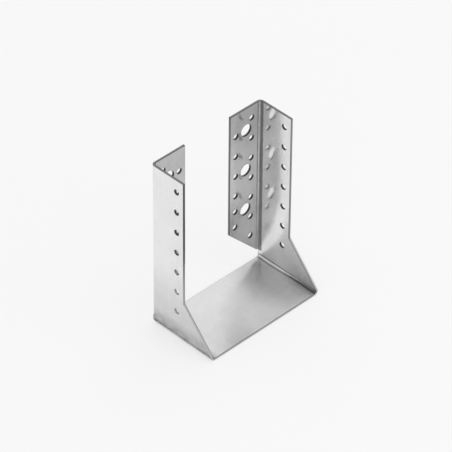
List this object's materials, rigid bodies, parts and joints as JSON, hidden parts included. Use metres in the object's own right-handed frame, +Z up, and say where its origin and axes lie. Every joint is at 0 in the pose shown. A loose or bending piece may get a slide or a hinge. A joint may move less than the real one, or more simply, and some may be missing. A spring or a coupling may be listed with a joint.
{
  "type": "joist hanger",
  "caption": "Hanger folded from galvanised steel sheet: a seat between punched side plates with slanted front edges, and punched flanges turned inwards against the header.",
  "frame": {"origin": "middle of the footprint, on the underside of the seat", "axes": "+X across the joist, +Y along the joist towards the header, +Z up"},
  "size_m": [0.119, 0.068, 0.16],
  "materials": {
    "zinc_steel": "hot-dip galvanised sheet, smooth and softly clouded, with bare grey cut edges"
  },
  "bodies": {
    "root": {"hanger": "zinc_steel"}
  },
  "joints": []
}
